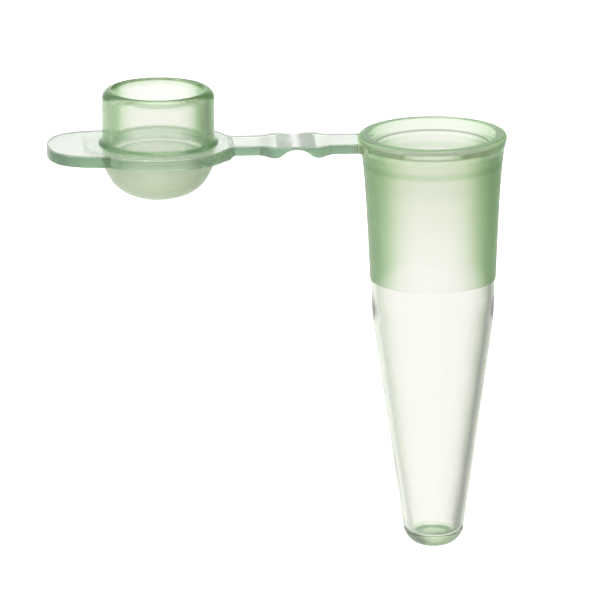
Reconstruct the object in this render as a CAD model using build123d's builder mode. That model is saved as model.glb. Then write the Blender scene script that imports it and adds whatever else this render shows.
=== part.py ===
from build123d import *
import math
import os

# Thin-wall 0.2 mL reaction tube with an attached, upside-down open domed cap.
# Millimetres. Origin: centre of the mouth in the plane of the rim top.
# +Z is the tube axis pointing out of the mouth, the strap and cap lie toward -X,
# and every flexing axis runs along Y.

os.makedirs("parts", exist_ok=True)

# ---------------------------------------------------------------- tube dimensions
# Rim collar
rim_r = 3.69
rim_round = 0.18
rim_flat_z = -0.23            # bottom of the upright rim edge, start of the bevel
rim_bot_z = -0.76
leadin_r = 3.17
leadin_z = -0.54
seal_r = 2.82

# Frosted barrel
barrel_top_r = 3.57
barrel_flare = ((3.49, -1.30), (3.425, -1.95), (3.32, -3.45))   # outer radius, z
barrel_in_r = 2.74
land_bot_z = -3.00
frost_z = -7.38
frost_r = 3.13
frost_step = 0.05             # drop in radius from the frosted to the clear surface

# Clear cone
kink_z = -9.22
kink_r = 3.035
cone_slope = 0.1395           # mm of radius per mm of height
cone_wall = 0.38              # horizontal wall of the cone
kink_in_z = kink_z + (barrel_in_r + cone_wall - kink_r) / cone_slope

# Tip
tip_split_z = -19.75
tip_z = -21.15
tip_corner = 1.10
floor_z = -20.45
floor_corner = 0.40
gate_r = 0.36
gate_h = 0.06
gate_taper = 0.02

# ---------------------------------------------------------------- strap dimensions
strap_top = -0.20
strap_t = 0.48
strap_bot = strap_top - strap_t
strap_w = 2.40
block_w = 3.15                # width of the block around the hinge
pivot_x = -4.00               # middle of the tube-side root
arm = 2.80                    # root middle to hinge middle
root_half = 0.25
hinge_x = pivot_x - arm
cap_pivot_x = pivot_x - 2 * arm
end_len = arm - root_half     # hinge middle to the end of each strap half

# Hinge web and the arch under it
web_half = 0.35
web_t = 0.14
bump_t = 0.56
notch_half = 0.84             # half length of the full arch
notch_rise = bump_t - web_t
notch_radius = (notch_half ** 2 + notch_rise ** 2) / (2 * notch_rise)

# Strap half, as distances from the hinge middle
arch_mid = 0.54
arch_end = 0.72
bump_end = 1.95
bump_profile = ((0.86, 0.048), (1.04, 0), (1.36, 0.018))   # distance, height above bump bottom
flare_start = 1.05
flare_mid = 1.42
flare_mid_inset = 0.16        # from the block edge
flare_end = 1.80
plan_bot_z = strap_top - 1    # the plan cutter spans the strap height with room to spare
plan_h = 1.2

# Strap stubs on rim and flange: (distance from the round part's axis, half width)
stub_end = -pivot_x - root_half
stub_fillet_mid = (3.58, 1.27)
stub_fillet_foot = (3.36, 1.62)
rim_stub_in_r = 3.30
rim_stub_angle = math.radians(26)
cap_stub_in = (2.95, 1.40)

# ---------------------------------------------------------------- cap dimensions
cap_x = cap_pivot_x + pivot_x     # cap axis
cap_z = -0.20                     # top plane of the flange, cap open

flange_r = 3.70
flange_t = 0.62
flange_edge = 0.07

throat_r = 2.12
step_z = -0.30                    # step between plug bore and throat, from cap_z
step_above = 0.08
step_below = 0.10

ramp_w = 2.34
ramp_in = 3.20                    # distances from the cap axis
ramp_foot = 3.58
ramp_strap_overlap = 0.05
ramp_flange_overlap = 0.03

plug_r = 2.785
plug_h = 2.72
plug_in_r = 2.29
plug_lip = 0.42
plug_lip_in = 0.05
stop_r = 2.97
stop_h = 0.12
stop_slope = 0.05                 # rise of the bead's sloped top above stop_h

# Finger tab: (distance from the cap axis toward -X, y)
tab_t = 0.60
tab_root = 3.75
tab_root_hw = 2.62
tab_tip = 5.55
tab_edge = ((4.30, 2.43), (4.75, 2.17), (5.16, 1.71), (5.45, 0.99))
tab_root_outline = (
    (tab_root, -tab_root_hw), (tab_root, tab_root_hw), (2.50, 2.74), (2.40, 1.50),
    (2.95, 0), (2.40, -1.50), (2.50, -2.74),
)

# Dome profiles: (radius, height from cap_z)
dome_r = 2.80
dome_outer = (
    (2.715, -1.15), (2.475, -1.68), (2.14, -2.12), (1.60, -2.50), (0.86, -2.74), (0, -2.80),
)
dome_inner = (
    (0, -2.44), (0.75, -2.38), (1.32, -2.19), (1.70, -1.91), (1.96, -1.54), (2.10, -1.08),
)

# Section planes: local x is +X, local y is +Z
tube_plane = Plane(origin=(0, 0, 0), x_dir=(1, 0, 0), z_dir=(0, -1, 0))
cap_plane = Plane(origin=(cap_x, 0, cap_z), x_dir=(1, 0, 0), z_dir=(0, -1, 0))
cap_axis = Axis((cap_x, 0, 0), (0, 0, 1))


def side_plane(width):
    """Plane on the +Y side of a centred part; extruding by width fills the part."""
    return Plane(origin=(0, width / 2, 0), x_dir=(1, 0, 0), z_dir=(0, -1, 0))


# ---------------------------------------------------------------- tube
def rim_collar():
    """Ring with a bevelled underside and lead-in chamfer, plus the filleted strap stub."""
    mid_x, mid_y = stub_fillet_mid
    foot_x, foot_y = stub_fillet_foot
    inner_x = rim_stub_in_r * math.cos(rim_stub_angle)
    inner_y = rim_stub_in_r * math.sin(rim_stub_angle)
    with BuildPart() as collar:
        with BuildSketch(tube_plane):
            with BuildLine():
                top = Line((leadin_r, 0), (rim_r - rim_round, 0))
                rounding = RadiusArc(top @ 1, (rim_r, -rim_round), rim_round)
                Polyline(
                    rounding @ 1,
                    (rim_r, rim_flat_z),
                    (barrel_top_r, rim_bot_z),
                    (seal_r, rim_bot_z),
                    (seal_r, leadin_z),
                    top @ 0,
                )
            make_face()
        revolve(axis=Axis.Z)
        with BuildSketch(Plane.XY.offset(strap_bot)):
            with BuildLine():
                end = Line((-stub_end, -strap_w / 2), (-stub_end, strap_w / 2))
                fillet_arc = ThreePointArc(end @ 1, (-mid_x, mid_y), (-foot_x, foot_y))
                flank = Line(fillet_arc @ 1, (-inner_x, inner_y))
                inner = ThreePointArc(flank @ 1, (-rim_stub_in_r, 0), (-inner_x, -inner_y))
                flank = Line(inner @ 1, (-foot_x, -foot_y))
                ThreePointArc(flank @ 1, (-mid_x, -mid_y), end @ 0)
            make_face()
        extrude(amount=strap_t)
    return collar.part


def frosted_barrel():
    """Tapered outside; the bore tapers to land_bot_z, then more gently below it."""
    with BuildPart() as barrel:
        with BuildSketch(tube_plane):
            with BuildLine():
                Polyline(
                    (seal_r, rim_bot_z),
                    (barrel_top_r, rim_bot_z),
                    *barrel_flare,
                    (frost_r, frost_z),
                    (barrel_in_r, frost_z),
                    (seal_r, land_bot_z),
                    close=True,
                )
            make_face()
        revolve(axis=Axis.Z)
    return barrel.part


def cone_r(z):
    """Outer radius of the cone at height z."""
    return kink_r + cone_slope * (z - kink_z)


def cone_in_r(z):
    """Inner radius of the cone at height z."""
    return cone_r(z) - cone_wall


def thin_wall_cone():
    """Clear wall from the frosted barrel down to the tip."""
    with BuildPart() as cone:
        with BuildSketch(tube_plane):
            with BuildLine():
                Polyline(
                    (barrel_in_r, frost_z),
                    (frost_r - frost_step, frost_z),
                    (kink_r, kink_z),
                    (cone_r(tip_split_z), tip_split_z),
                    (cone_in_r(tip_split_z), tip_split_z),
                    (barrel_in_r, kink_in_z),
                    close=True,
                )
            make_face()
        revolve(axis=Axis.Z)
    return cone.part


def cone_corner(bottom_z, corner, wall_r):
    """Arc between a cone wall and a flat bottom: its wall, middle and bottom points."""
    slope_cos = 1 / math.hypot(1, cone_slope)
    slope_sin = cone_slope * slope_cos
    mid_angle = (math.atan2(-slope_sin, slope_cos) - math.pi / 2) / 2
    centre_z = bottom_z + corner
    wall_z = centre_z - corner * slope_sin
    centre_r = wall_r(wall_z) - corner * slope_cos
    middle = (
        centre_r + corner * math.cos(mid_angle),
        centre_z + corner * math.sin(mid_angle),
    )
    return (wall_r(wall_z), wall_z), middle, (centre_r, bottom_z)


def rounded_tip():
    """Thick closed end with rounded corner and floor, and a shallow gate recess below."""
    outer_wall, outer_mid, outer_bottom = cone_corner(tip_z, tip_corner, cone_r)
    inner_wall, inner_mid, inner_bottom = cone_corner(floor_z, floor_corner, cone_in_r)
    with BuildPart() as tip:
        with BuildSketch(tube_plane):
            with BuildLine():
                split = Line(
                    (cone_in_r(tip_split_z), tip_split_z), (cone_r(tip_split_z), tip_split_z)
                )
                wall = Line(split @ 1, outer_wall)
                corner = ThreePointArc(wall @ 1, outer_mid, outer_bottom)
                bottom = Polyline(
                    corner @ 1,
                    (gate_r, tip_z),
                    (gate_r - gate_taper, tip_z + gate_h),
                    (0, tip_z + gate_h),
                    (0, floor_z),
                    inner_bottom,
                )
                floor_arc = ThreePointArc(bottom @ 1, inner_mid, inner_wall)
                Line(floor_arc @ 1, split @ 0)
            make_face()
        revolve(axis=Axis.Z)
    return tip.part


# ---------------------------------------------------------------- strap
def notch_z(distance):
    """Underside height at a distance from the hinge middle, inside the arch."""
    drop = notch_radius - math.sqrt(notch_radius ** 2 - distance ** 2)
    return strap_top - web_t - drop


def root_flexure(x):
    """Short plain block of strap centred at x."""
    with BuildPart() as flexure:
        with Locations((x, 0, strap_top - strap_t / 2)):
            Box(2 * root_half, strap_w, strap_t)
    return flexure.part


def living_hinge_web():
    """Thin middle of the arch, flat on top."""
    with BuildPart() as web:
        with BuildSketch(side_plane(block_w)):
            with BuildLine():
                top = Polyline(
                    (hinge_x - web_half, strap_top),
                    (hinge_x + web_half, strap_top),
                    (hinge_x + web_half, notch_z(web_half)),
                )
                arch = ThreePointArc(
                    top @ 1,
                    (hinge_x, strap_top - web_t),
                    (hinge_x - web_half, notch_z(web_half)),
                )
                Line(arch @ 1, top @ 0)
            make_face()
        extrude(amount=block_w)
    return web.part


def strap_half(side):
    """Strap from the web to a root; side is +1 toward the tube, -1 toward the cap.

    The side profile (arch, rounded bump, plain strap) is cut to a plan that
    narrows smoothly from the wide hinge block to the strap width.
    """
    def x_at(distance):
        return hinge_x + side * distance

    with BuildPart() as half:
        with BuildSketch(side_plane(block_w)):
            with BuildLine():
                top = Line((x_at(end_len), strap_top), (x_at(web_half), strap_top))
                web_end = Line(top @ 1, (x_at(web_half), notch_z(web_half)))
                arch = ThreePointArc(
                    web_end @ 1,
                    (x_at(arch_mid), notch_z(arch_mid)),
                    (x_at(arch_end), notch_z(arch_end)),
                )
                bump = Spline(
                    arch @ 1,
                    *[(x_at(d), strap_top - bump_t + rise) for d, rise in bump_profile],
                    (x_at(bump_end), strap_bot),
                    tangents=(arch % 1, (side, 0)),
                )
                Polyline(bump @ 1, (x_at(end_len), strap_bot), top @ 0)
            make_face()
        extrude(amount=block_w)
        with BuildSketch(Plane.XY.offset(plan_bot_z)):
            with BuildLine():
                block_edge = Line(
                    (x_at(web_half), block_w / 2), (x_at(flare_start), block_w / 2)
                )
                flare = Spline(
                    block_edge @ 1,
                    (x_at(flare_mid), block_w / 2 - flare_mid_inset),
                    (x_at(flare_end), strap_w / 2),
                    tangents=((side, 0), (side, 0)),
                )
                strap_end = Polyline(
                    flare @ 1,
                    (x_at(end_len), strap_w / 2),
                    (x_at(end_len), -strap_w / 2),
                    (x_at(flare_end), -strap_w / 2),
                )
                flare = Spline(
                    strap_end @ 1,
                    (x_at(flare_mid), -block_w / 2 + flare_mid_inset),
                    (x_at(flare_start), -block_w / 2),
                    tangents=((-side, 0), (-side, 0)),
                )
                Polyline(flare @ 1, (x_at(web_half), -block_w / 2), block_edge @ 0)
            make_face()
        extrude(amount=plan_h, mode=Mode.INTERSECT)
    return half.part


# ---------------------------------------------------------------- cap
def cap_flange():
    """Flat ring with the strap stub toward +X and the finger tab root toward -X.

    The throat steps in from the plug bore to the dome.
    """
    mid_x, mid_y = stub_fillet_mid
    foot_x, foot_y = stub_fillet_foot
    inner_x, inner_y = cap_stub_in
    with BuildPart() as flange:
        with BuildSketch(cap_plane):
            with BuildLine():
                top = Line((plug_in_r, 0), (flange_r - flange_edge, 0))
                top_edge = RadiusArc(top @ 1, (flange_r, -flange_edge), flange_edge)
                rim = Line(top_edge @ 1, (flange_r, -flange_t + flange_edge))
                low_edge = RadiusArc(rim @ 1, (flange_r - flange_edge, -flange_t), flange_edge)
                Polyline(
                    low_edge @ 1,
                    (throat_r, -flange_t),
                    (throat_r, step_z - step_below),
                    (plug_in_r, step_z + step_above),
                    top @ 0,
                )
            make_face()
        revolve(axis=cap_axis)
        # Strap stub with plan fillets
        with BuildSketch(Plane.XY.offset(strap_bot)):
            with BuildLine():
                end = Line(
                    (cap_x + stub_end, -strap_w / 2), (cap_x + stub_end, strap_w / 2)
                )
                fillet_arc = ThreePointArc(
                    end @ 1, (cap_x + mid_x, mid_y), (cap_x + foot_x, foot_y)
                )
                inner = Polyline(
                    fillet_arc @ 1,
                    (cap_x + inner_x, inner_y),
                    (cap_x + inner_x, -inner_y),
                    (cap_x + foot_x, -foot_y),
                )
                ThreePointArc(inner @ 1, (cap_x + mid_x, -mid_y), end @ 0)
            make_face()
        extrude(amount=strap_t)
        # Underside ramp between the flange and the strap
        flange_bot = cap_z - flange_t
        with BuildSketch(side_plane(ramp_w)):
            with BuildLine():
                Polyline(
                    (cap_x + ramp_in, strap_bot + ramp_strap_overlap),
                    (cap_x + stub_end, strap_bot + ramp_strap_overlap),
                    (cap_x + stub_end, strap_bot),
                    (cap_x + ramp_foot, flange_bot + ramp_flange_overlap),
                    (cap_x + ramp_in, flange_bot + ramp_flange_overlap),
                    close=True,
                )
            make_face()
        extrude(amount=ramp_w)
        # Root of the finger tab
        with BuildSketch(Plane.XY.offset(cap_z - tab_t)):
            with BuildLine():
                Polyline(*[(cap_x - d, y) for d, y in tab_root_outline], close=True)
            make_face()
        extrude(amount=tab_t)
    return flange.part


def finger_tab():
    """Flat rounded tab beyond the flange, toward -X."""
    with BuildPart() as tab:
        with BuildSketch(Plane.XY.offset(cap_z - tab_t)):
            with BuildLine():
                root = Line((cap_x - tab_root, -tab_root_hw), (cap_x - tab_root, tab_root_hw))
                edge = Spline(
                    root @ 1,
                    *[(cap_x - d, y) for d, y in tab_edge],
                    (cap_x - tab_tip, 0),
                    tangents=((-1, -0.22), (0, -1)),
                )
                Spline(
                    edge @ 1,
                    *[(cap_x - d, -y) for d, y in reversed(tab_edge)],
                    root @ 0,
                    tangents=((0, -1), (1, -0.22)),
                )
            make_face()
        extrude(amount=tab_t)
    return tab.part


def sealing_plug():
    """Hollow ring on the flange, with a stop bead at its base and a large rounded lip."""
    with BuildPart() as plug:
        with BuildSketch(cap_plane):
            with BuildLine():
                outside = Polyline(
                    (plug_in_r, 0),
                    (stop_r, 0),
                    (stop_r, stop_h / 2),
                    (plug_r, stop_h + stop_slope),
                    (plug_r, plug_h - plug_lip),
                )
                lip = RadiusArc(outside @ 1, (plug_r - plug_lip, plug_h), -plug_lip)
                Polyline(
                    lip @ 1,
                    (plug_in_r + plug_lip_in, plug_h),
                    (plug_in_r, plug_h - plug_lip_in),
                    outside @ 0,
                )
            make_face()
        revolve(axis=cap_axis)
    return plug.part


def cap_dome():
    """Closed, slightly flattened bowl under the flange."""
    with BuildPart() as dome:
        with BuildSketch(cap_plane):
            with BuildLine():
                mouth = Line((throat_r, -flange_t), (dome_r, -flange_t))
                outside = Spline(mouth @ 1, *dome_outer, tangents=((-0.12, -1), (-1, 0)))
                wall = Line(outside @ 1, dome_inner[0])
                Spline(wall @ 1, *dome_inner[1:], mouth @ 0, tangents=((1, 0), (0.02, 1)))
            make_face()
        revolve(axis=cap_axis)
    return dome.part


# ---------------------------------------------------------------- export
pieces = {
    "rim_collar": rim_collar(),
    "frosted_barrel": frosted_barrel(),
    "thin_wall_cone": thin_wall_cone(),
    "rounded_tip": rounded_tip(),
    "tube_root_flexure": root_flexure(pivot_x),
    "cap_root_flexure": root_flexure(cap_pivot_x),
    "living_hinge_web": living_hinge_web(),
    "tube_side_strap": strap_half(1),
    "cap_side_strap": strap_half(-1),
    "cap_flange": cap_flange(),
    "finger_tab": finger_tab(),
    "sealing_plug": sealing_plug(),
    "cap_dome": cap_dome(),
}
for name, piece in pieces.items():
    piece.label = name
    export_step(piece, f"parts/{name}.step")
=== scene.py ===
"""A small conical tube with its cap hinged open, moulded in one piece of polypropylene.

The tube stands on the Z axis with its rim at z = 0 and its tip down. A strap with a living
hinge runs from the rim towards -X, to a cap that lies upside down: plug up, dome down.
A finger tab ends it at the far -X. The camera looks from -Y, a little from above.
Sizes and places are in millimetres unless a comment says otherwise.
"""
import math

import bmesh
import bpy
import numpy as np
from mathutils import Matrix, Vector


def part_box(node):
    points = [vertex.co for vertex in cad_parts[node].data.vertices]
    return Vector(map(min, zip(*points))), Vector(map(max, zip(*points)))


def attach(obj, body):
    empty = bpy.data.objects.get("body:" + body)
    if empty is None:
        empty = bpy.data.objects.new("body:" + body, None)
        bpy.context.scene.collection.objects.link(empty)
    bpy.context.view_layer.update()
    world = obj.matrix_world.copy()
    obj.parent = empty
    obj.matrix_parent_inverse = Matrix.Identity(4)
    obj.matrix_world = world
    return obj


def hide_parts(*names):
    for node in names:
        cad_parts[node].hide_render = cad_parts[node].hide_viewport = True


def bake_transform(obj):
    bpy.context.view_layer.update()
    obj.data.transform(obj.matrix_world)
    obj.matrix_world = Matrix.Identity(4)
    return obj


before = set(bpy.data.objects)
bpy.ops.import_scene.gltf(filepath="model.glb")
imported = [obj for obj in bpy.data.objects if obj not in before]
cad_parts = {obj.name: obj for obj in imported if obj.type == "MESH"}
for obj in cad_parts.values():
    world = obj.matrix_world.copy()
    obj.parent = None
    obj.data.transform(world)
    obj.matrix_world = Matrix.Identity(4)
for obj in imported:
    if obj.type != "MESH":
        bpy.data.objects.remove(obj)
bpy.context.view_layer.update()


MM = 0.001          # metres in a millimetre
GAP = 0.0006        # left open on each side of a cut between two regions of the moulding
SEGMENTS = 256      # around every turned piece


# ------------------------------------------------------------------ places, from the frame
def span_x(name):
    """The two ends of a CAD piece along X, the one nearer the tube first."""
    low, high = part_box(name)
    return high.x / MM, low.x / MM


def bottom(name):
    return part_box(name)[0].z / MM


RIM_BOTTOM = bottom("rim_collar")
BARREL_BOTTOM = bottom("frosted_barrel")
CONE_BOTTOM = bottom("thin_wall_cone")
TIP_BOTTOM = bottom("rounded_tip")

low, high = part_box("sealing_plug")
CAP_X = 0.5 * (low.x + high.x) / MM         # the cap's own axis
CAP_TOP = low.z / MM                        # top of the flange, where the plug begins
PLUG_HEIGHT = high.z / MM - CAP_TOP

TUBE_ROOT_START, TUBE_ROOT_END = span_x("tube_root_flexure")
TUBE_ROOT_MID = 0.5 * (TUBE_ROOT_START + TUBE_ROOT_END)
CAP_ROOT_START, CAP_ROOT_END = span_x("cap_root_flexure")
CAP_ROOT_MID = 0.5 * (CAP_ROOT_START + CAP_ROOT_END)
WEB_START, WEB_END = span_x("living_hinge_web")
WEB_MID = 0.5 * (WEB_START + WEB_END)
TAB_START, TAB_END = span_x("finger_tab")
low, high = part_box("finger_tab")
TAB_THICKNESS = (high.z - low.z) / MM


# ------------------------------------------------------------------ curves
def arc(centre_x, centre_z, radius, start, end, steps):
    """Points of an arc in degrees, both ends included."""
    angles = [math.radians(start + (end - start) * i / steps) for i in range(steps + 1)]
    return [(centre_x + radius * math.cos(a), centre_z + radius * math.sin(a)) for a in angles]


def fillet(points, radii, steps=6):
    """Rounds the corners of a polyline, with one radius for each inner point."""
    out = [points[0]]
    for i in range(1, len(points) - 1):
        corner, before, after = Vector(points[i]), Vector(points[i - 1]), Vector(points[i + 1])
        u, v = (before - corner).normalized(), (after - corner).normalized()
        half = math.acos(max(-1, min(1, u.dot(v)))) / 2
        setback = min(
            radii[i - 1] / math.tan(half),
            0.49 * (before - corner).length,
            0.49 * (after - corner).length,
        )
        radius = setback * math.tan(half)
        centre = corner + (u + v).normalized() * (radius / math.sin(half))
        first, last = corner + u * setback - centre, corner + v * setback - centre
        start, end = math.atan2(first.y, first.x), math.atan2(last.y, last.x)
        turn = (end - start + math.pi) % (2 * math.pi) - math.pi
        for k in range(steps + 1):
            a = start + turn * k / steps
            out.append((centre.x + radius * math.cos(a), centre.y + radius * math.sin(a)))
    out.append(points[-1])
    return out


def dense(points, step=0.25):
    """Extra points along the straight runs, so that slow waves have vertices to move."""
    out = [points[0]]
    for a, b in zip(points, points[1:]):
        n = max(1, int(math.hypot(b[0] - a[0], b[1] - a[1]) / step))
        for k in range(1, n + 1):
            out.append((a[0] + (b[0] - a[0]) * k / n, a[1] + (b[1] - a[1]) * k / n))
    return out


def catmull(points, steps):
    """A smooth curve through the points."""
    p = [np.array(q, float) for q in points]
    p = [2 * p[0] - p[1]] + p + [2 * p[-1] - p[-2]]
    out = []
    for a, b, c, d in zip(p, p[1:], p[2:], p[3:]):
        for k in range(steps):
            t = k / steps
            square = (2 * a - 5 * b + 4 * c - d) * t * t
            cube = (3 * b - a - 3 * c + d) * t ** 3
            out.append(tuple(0.5 * (2 * b + (c - a) * t + square + cube)))
    out.append(tuple(p[-2]))
    return out


def smoothstep(t):
    t = max(0.0, min(1.0, t))
    return t * t * (3 - 2 * t)


# ------------------------------------------------------------------ mesh helpers
def write_mesh(bm, mesh, sharp_angle):
    """Writes bm to the mesh, smooth shaded but for the edges over sharp_angle degrees."""
    bmesh.ops.recalc_face_normals(bm, faces=bm.faces)
    bm.to_mesh(mesh)
    bm.free()
    mesh.polygons.foreach_set("use_smooth", [True] * len(mesh.polygons))
    mesh.set_sharp_from_angle(angle=math.radians(sharp_angle))


def new_object(name, bm, sharp_angle=32):
    mesh = bpy.data.meshes.new(name)
    write_mesh(bm, mesh, sharp_angle)
    piece = bpy.data.objects.new(name, mesh)
    bpy.context.scene.collection.objects.link(piece)
    return piece


def guarded(profile, closed, longer=0.28, near=0.015):
    """Adds points near both ends of every long straight, so that shading stays flat on it."""
    out = []
    n = len(profile)
    for i in range(n if closed else n - 1):
        a, b = np.array(profile[i]), np.array(profile[(i + 1) % n])
        out.append(tuple(profile[i]))
        length = np.linalg.norm(b - a)
        if length > longer:
            if a[0] > 1e-7:
                out.append(tuple(a + (b - a) * near / length))
            if b[0] > 1e-7:
                out.append(tuple(b - (b - a) * near / length))
    if not closed:
        out.append(tuple(profile[-1]))
    return out


def lathe(name, profile, axis_x=0.0, base_z=0.0, closed=True, waves=None):
    """Turns a profile of (r, z) about a vertical axis.

    closed joins the last point to the first; an open profile starts and ends on the axis.
    waves(angle, r, z) gives what is added to the radius.
    """
    bm = bmesh.new()
    rings = []
    for r, z in guarded(profile, closed):
        height = (base_z + z) * MM
        if r < 1e-7:
            rings.append([bm.verts.new((axis_x * MM, 0, height))])
            continue
        ring = []
        for k in range(SEGMENTS):
            angle = 2 * math.pi * k / SEGMENTS
            radius = r + (waves(angle, r, z) if waves else 0.0)
            x, y = (axis_x + radius * math.cos(angle)) * MM, radius * math.sin(angle) * MM
            ring.append(bm.verts.new((x, y, height)))
        rings.append(ring)
    pairs = list(zip(rings, rings[1:]))
    if closed:
        pairs.append((rings[-1], rings[0]))
    for a, b in pairs:
        for k in range(SEGMENTS):
            k2 = (k + 1) % SEGMENTS
            if len(a) == 1:
                bm.faces.new((a[0], b[k], b[k2]))
            elif len(b) == 1:
                bm.faces.new((a[k], a[k2], b[0]))
            else:
                bm.faces.new((a[k], b[k], b[k2], a[k2]))
    return new_object(name, bm)


def section(half_width, top, bottom_z, corner):
    """A rounded rectangle in (y, z), as a closed ring."""
    corner = min(corner, 0.49 * (top - bottom_z))
    y, high_z, low_z = half_width - corner, top - corner, bottom_z + corner
    corners = ((y, high_z, 0), (-y, high_z, 90), (-y, low_z, 180), (y, low_z, 270))
    rounds = [arc(cy, cz, corner, start, start + 90, 4) for cy, cz, start in corners]
    ring = []
    for i, points in enumerate(rounds):
        ring += points
        a, b = points[-1], rounds[(i + 1) % 4][0]
        n = 10 if i % 2 == 0 else 2         # steps across the width, steps up the edge
        ring += [(a[0] + (b[0] - a[0]) * k / n, a[1] + (b[1] - a[1]) * k / n) for k in range(1, n)]
    return ring


def loft(name, stations):
    """A solid along X through stations of (x, half width, top, bottom, corner radius)."""
    bm = bmesh.new()
    rings = [
        [bm.verts.new((x * MM, y * MM, z * MM)) for y, z in section(*outline)]
        for x, *outline in stations
    ]
    n = len(rings[0])
    for a, b in zip(rings, rings[1:]):
        for k in range(n):
            bm.faces.new((a[k], b[k], b[(k + 1) % n], a[(k + 1) % n]))
    bm.faces.new(rings[0])
    bm.faces.new(rings[-1])
    return new_object(name, bm, sharp_angle=40)


def union(body, *others):
    """Joins closed solids into one closed mesh, which stays in body."""
    for other in others:
        join = body.modifiers.new("join", "BOOLEAN")
        join.operation = "UNION"
        join.solver = "EXACT"
        join.object = other
        graph = bpy.context.evaluated_depsgraph_get()
        mesh = bpy.data.meshes.new_from_object(body.evaluated_get(graph), depsgraph=graph)
        body.modifiers.clear()
        body.data = mesh
        bpy.data.objects.remove(other)
    bm = bmesh.new()
    bm.from_mesh(body.data)
    bmesh.ops.remove_doubles(bm, verts=bm.verts, dist=2e-7)
    bmesh.ops.dissolve_degenerate(bm, edges=bm.edges, dist=1e-7)
    write_mesh(bm, body.data, 32)
    return body


# ------------------------------------------------------------------ strap shape
STRAP_DROP = 0.012                  # the strap's top lies this far under the flange top
STRAP_TOP = CAP_TOP - STRAP_DROP
STRAP_CORNER = 0.045
WEB_THICKNESS = 0.14                # thinnest place, in the middle of the hinge
SHOULDER_THICKNESS = 0.56           # thickest place, on both sides of the hinge
ARM_THICKNESS = 0.48                # what the shoulder thins down to
NOTCH_END, SHOULDER_END = 0.72, 1.04            # distances from the hinge middle
NOTCH_RADIUS = (0.84 ** 2 + 0.42 ** 2) / (2 * 0.42)     # chord half 0.84, height 0.42
RIB_PITCH, RIB_HEIGHT = 0.115, 0.009


def strap_thickness(distance):
    """Thickness at a distance from the hinge middle."""
    reach = min(distance, NOTCH_END)
    notch = WEB_THICKNESS + NOTCH_RADIUS - math.sqrt(NOTCH_RADIUS * NOTCH_RADIUS - reach * reach)
    if distance < NOTCH_END:
        return notch
    if distance < SHOULDER_END:
        rise = math.sin((distance - NOTCH_END) / (SHOULDER_END - NOTCH_END) * math.pi / 2)
        return notch + (SHOULDER_THICKNESS - notch) * rise
    thinning = smoothstep((distance - SHOULDER_END) / 0.91)
    return SHOULDER_THICKNESS - (SHOULDER_THICKNESS - ARM_THICKNESS) * thinning


def strap_station(x, ribbed=False):
    """One loft station. ribbed adds fine ribs along the edges between the hinge and tube."""
    distance = abs(x - WEB_MID)
    half_width = 1.575 - 0.375 * smoothstep((distance - 1.05) / 0.75)
    if ribbed:
        fade = smoothstep((x + 5.45) / 0.25) * smoothstep((-3.50 - x) / 0.15)
        half_width += RIB_HEIGHT * fade * math.sin(2 * math.pi * x / RIB_PITCH)
    thickness = strap_thickness(distance)
    corner = STRAP_CORNER if thickness > 0.25 else STRAP_CORNER * thickness / 0.25
    return x, half_width, STRAP_TOP, STRAP_TOP - thickness + STRAP_DROP, corner


def strap_piece(name, start, end, step, ribbed):
    """A length of strap, both ends pulled in by the cut gap. start is nearer the tube."""
    a, b = start - GAP, end + GAP
    n = max(8, int(abs(b - a) / step))
    return loft(name, [strap_station(a + (b - a) * i / n, ribbed) for i in range(n + 1)])


def root_stub(name, start, run, ribbed, thickening, buried_x, narrowing):
    """The strap's flared end on a ring. Its last station is buried in the ring."""
    stations = []
    for i in range(25):
        t = i / 24
        x, half_width, top, low_z, corner = strap_station(start + run * t, ribbed)
        flared = half_width + 0.50 * t ** 1.7
        stations.append((x, flared, top, low_z - thickening(t), corner))
    _, half_width, top, low_z, corner = stations[-1]
    stations.append((buried_x, half_width - narrowing, top, low_z, corner))
    return loft(name, stations)


# ------------------------------------------------------------------ tube
KNEE_R, KNEE_Z = 3.035, -9.22       # outer wall where the cone proper begins
CONE_SLOPE = 0.1395                 # radius gained per mm of height
BORE_R = 2.74                       # bore at the lower end of the barrel
LEDGE_R = 3.08                      # outside it the barrel's lower end is a small ledge
CONE_WALL = 0.38
SLOPE_COS = 1 / math.hypot(1, CONE_SLOPE)
SLOPE_SIN = CONE_SLOPE / math.hypot(1, CONE_SLOPE)

WAVE_HEIGHT, WAVE_LENGTH = 0.0022, 2.2
# lobes round the wall, turns per wave length of height, weight
WAVES = (
    (2, 0.21, 1.0), (3, 0.47, 0.8), (5, 0.33, 0.55), (7, 0.83, 0.4),
    (11, 0.61, 0.3), (4, 1.7, 0.25), (17, 0.4, 0.16),
)


def cone_r(z):
    return KNEE_R + CONE_SLOPE * (z - KNEE_Z)


def tube_wave(angle, r, z):
    """Slow unevenness of the moulded wall, shared by neighbours so that they meet."""
    outer = r > 0.93 * cone_r(min(z, KNEE_Z))
    seed = 1.0 if outer else 2.3
    total = 0.0
    for k, (lobes, turns, weight) in enumerate(WAVES):
        phase = lobes * angle + turns * z * 2 * math.pi / WAVE_LENGTH + seed * (k + 1) * 1.7
        total += weight * math.sin(phase)
    return WAVE_HEIGHT * total


def tip_wave(angle, r, z):
    """The tube's waves, faded out towards the axis at the bottom."""
    fade = 1 if z > CONE_BOTTOM - 0.3 else max(0.0, min(1.0, (r - 0.4) / 0.6))
    return tube_wave(angle, r, z) * fade


def build_rim():
    low_z = RIM_BOTTOM + GAP
    mouth = [(2.82, low_z), (2.82, -0.54), (3.17, 0.0), (3.51, 0.0)]
    underside = [(3.69, -0.185), (3.69, -0.23), (3.57, low_z)]
    profile = (
        fillet(mouth, [0.03, 0.035], 4)[:-1]
        + arc(3.51, -0.18, 0.18, 90, 0, 10)
        + fillet(underside, [0.06], 4)[1:]
    )
    return lathe("rim_collar_skin", profile)


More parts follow.
